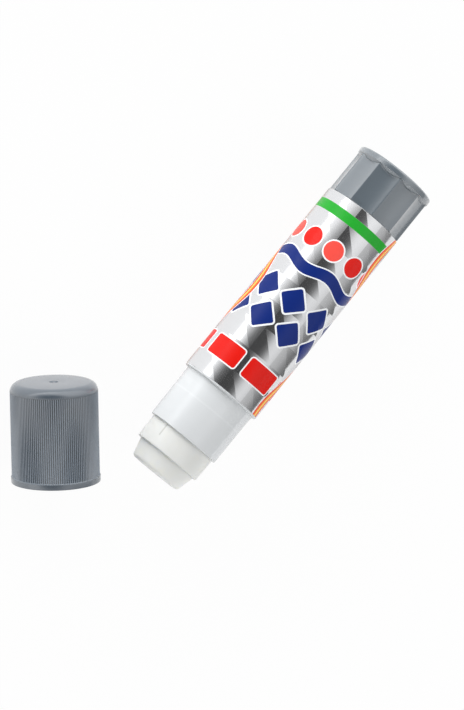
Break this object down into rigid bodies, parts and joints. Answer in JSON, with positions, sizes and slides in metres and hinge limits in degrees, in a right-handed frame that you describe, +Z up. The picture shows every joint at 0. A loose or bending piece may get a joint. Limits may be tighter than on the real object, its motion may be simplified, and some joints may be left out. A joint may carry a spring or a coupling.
{
  "type": "glue stick",
  "caption": "Round twist-up glue stick with a fluted turning knob, foil-wrapped barrel, clear neck and a ribbed push-on cap lying beside it.",
  "frame": {"origin": "on the table, under the middle of the stick and its cap taken together", "axes": "+X along the stick towards the tip of the glue, +Y away from the cap, +Z up"},
  "size_m": [0.1098, 0.049, 0.0202],
  "materials": {
    "grey_plastic": "satin moulded plastic",
    "cap_plastic": "satin moulded plastic, finely ribbed",
    "clear_plastic": "frosted translucent",
    "milky_plastic": "milky translucent",
    "white_plastic": "natural moulded plastic",
    "foil": "faceted holographic foil with a plain coloured print",
    "glue_wax": "waxy solid adhesive"
  },
  "bodies": {
    "barrel": {"barrel": "clear_plastic", "inner_tube": "milky_plastic", "label": "foil"},
    "dial": {"knob": "grey_plastic", "spindle": "white_plastic"},
    "lift": {"carrier": "white_plastic", "glue": "glue_wax"},
    "cap": {"cap": "cap_plastic"}
  },
  "joints": [
    {"name": "knob_turn", "type": "hinge", "parent": "barrel", "child": "dial", "pos_m": [-0.05, 0.0144, 0.01012], "axis": [1, 0, 0], "range_deg": [-234.9, 2499.9]},
    {"name": "carrier_travel", "type": "slide", "parent": "barrel", "child": "lift", "axis": [1, 0, 0], "range_m": [-0.0047, 0.05]},
    {"name": "cap_pull", "type": "slide", "parent": "barrel", "child": "cap", "axis": [-0.739, -0.6737, 0], "range_m": [0, 0.019]}
  ],
  "couplings": [
    {"joint": "carrier_travel", "follows": "knob_turn", "m_per_rad": 0.0011459}
  ]
}
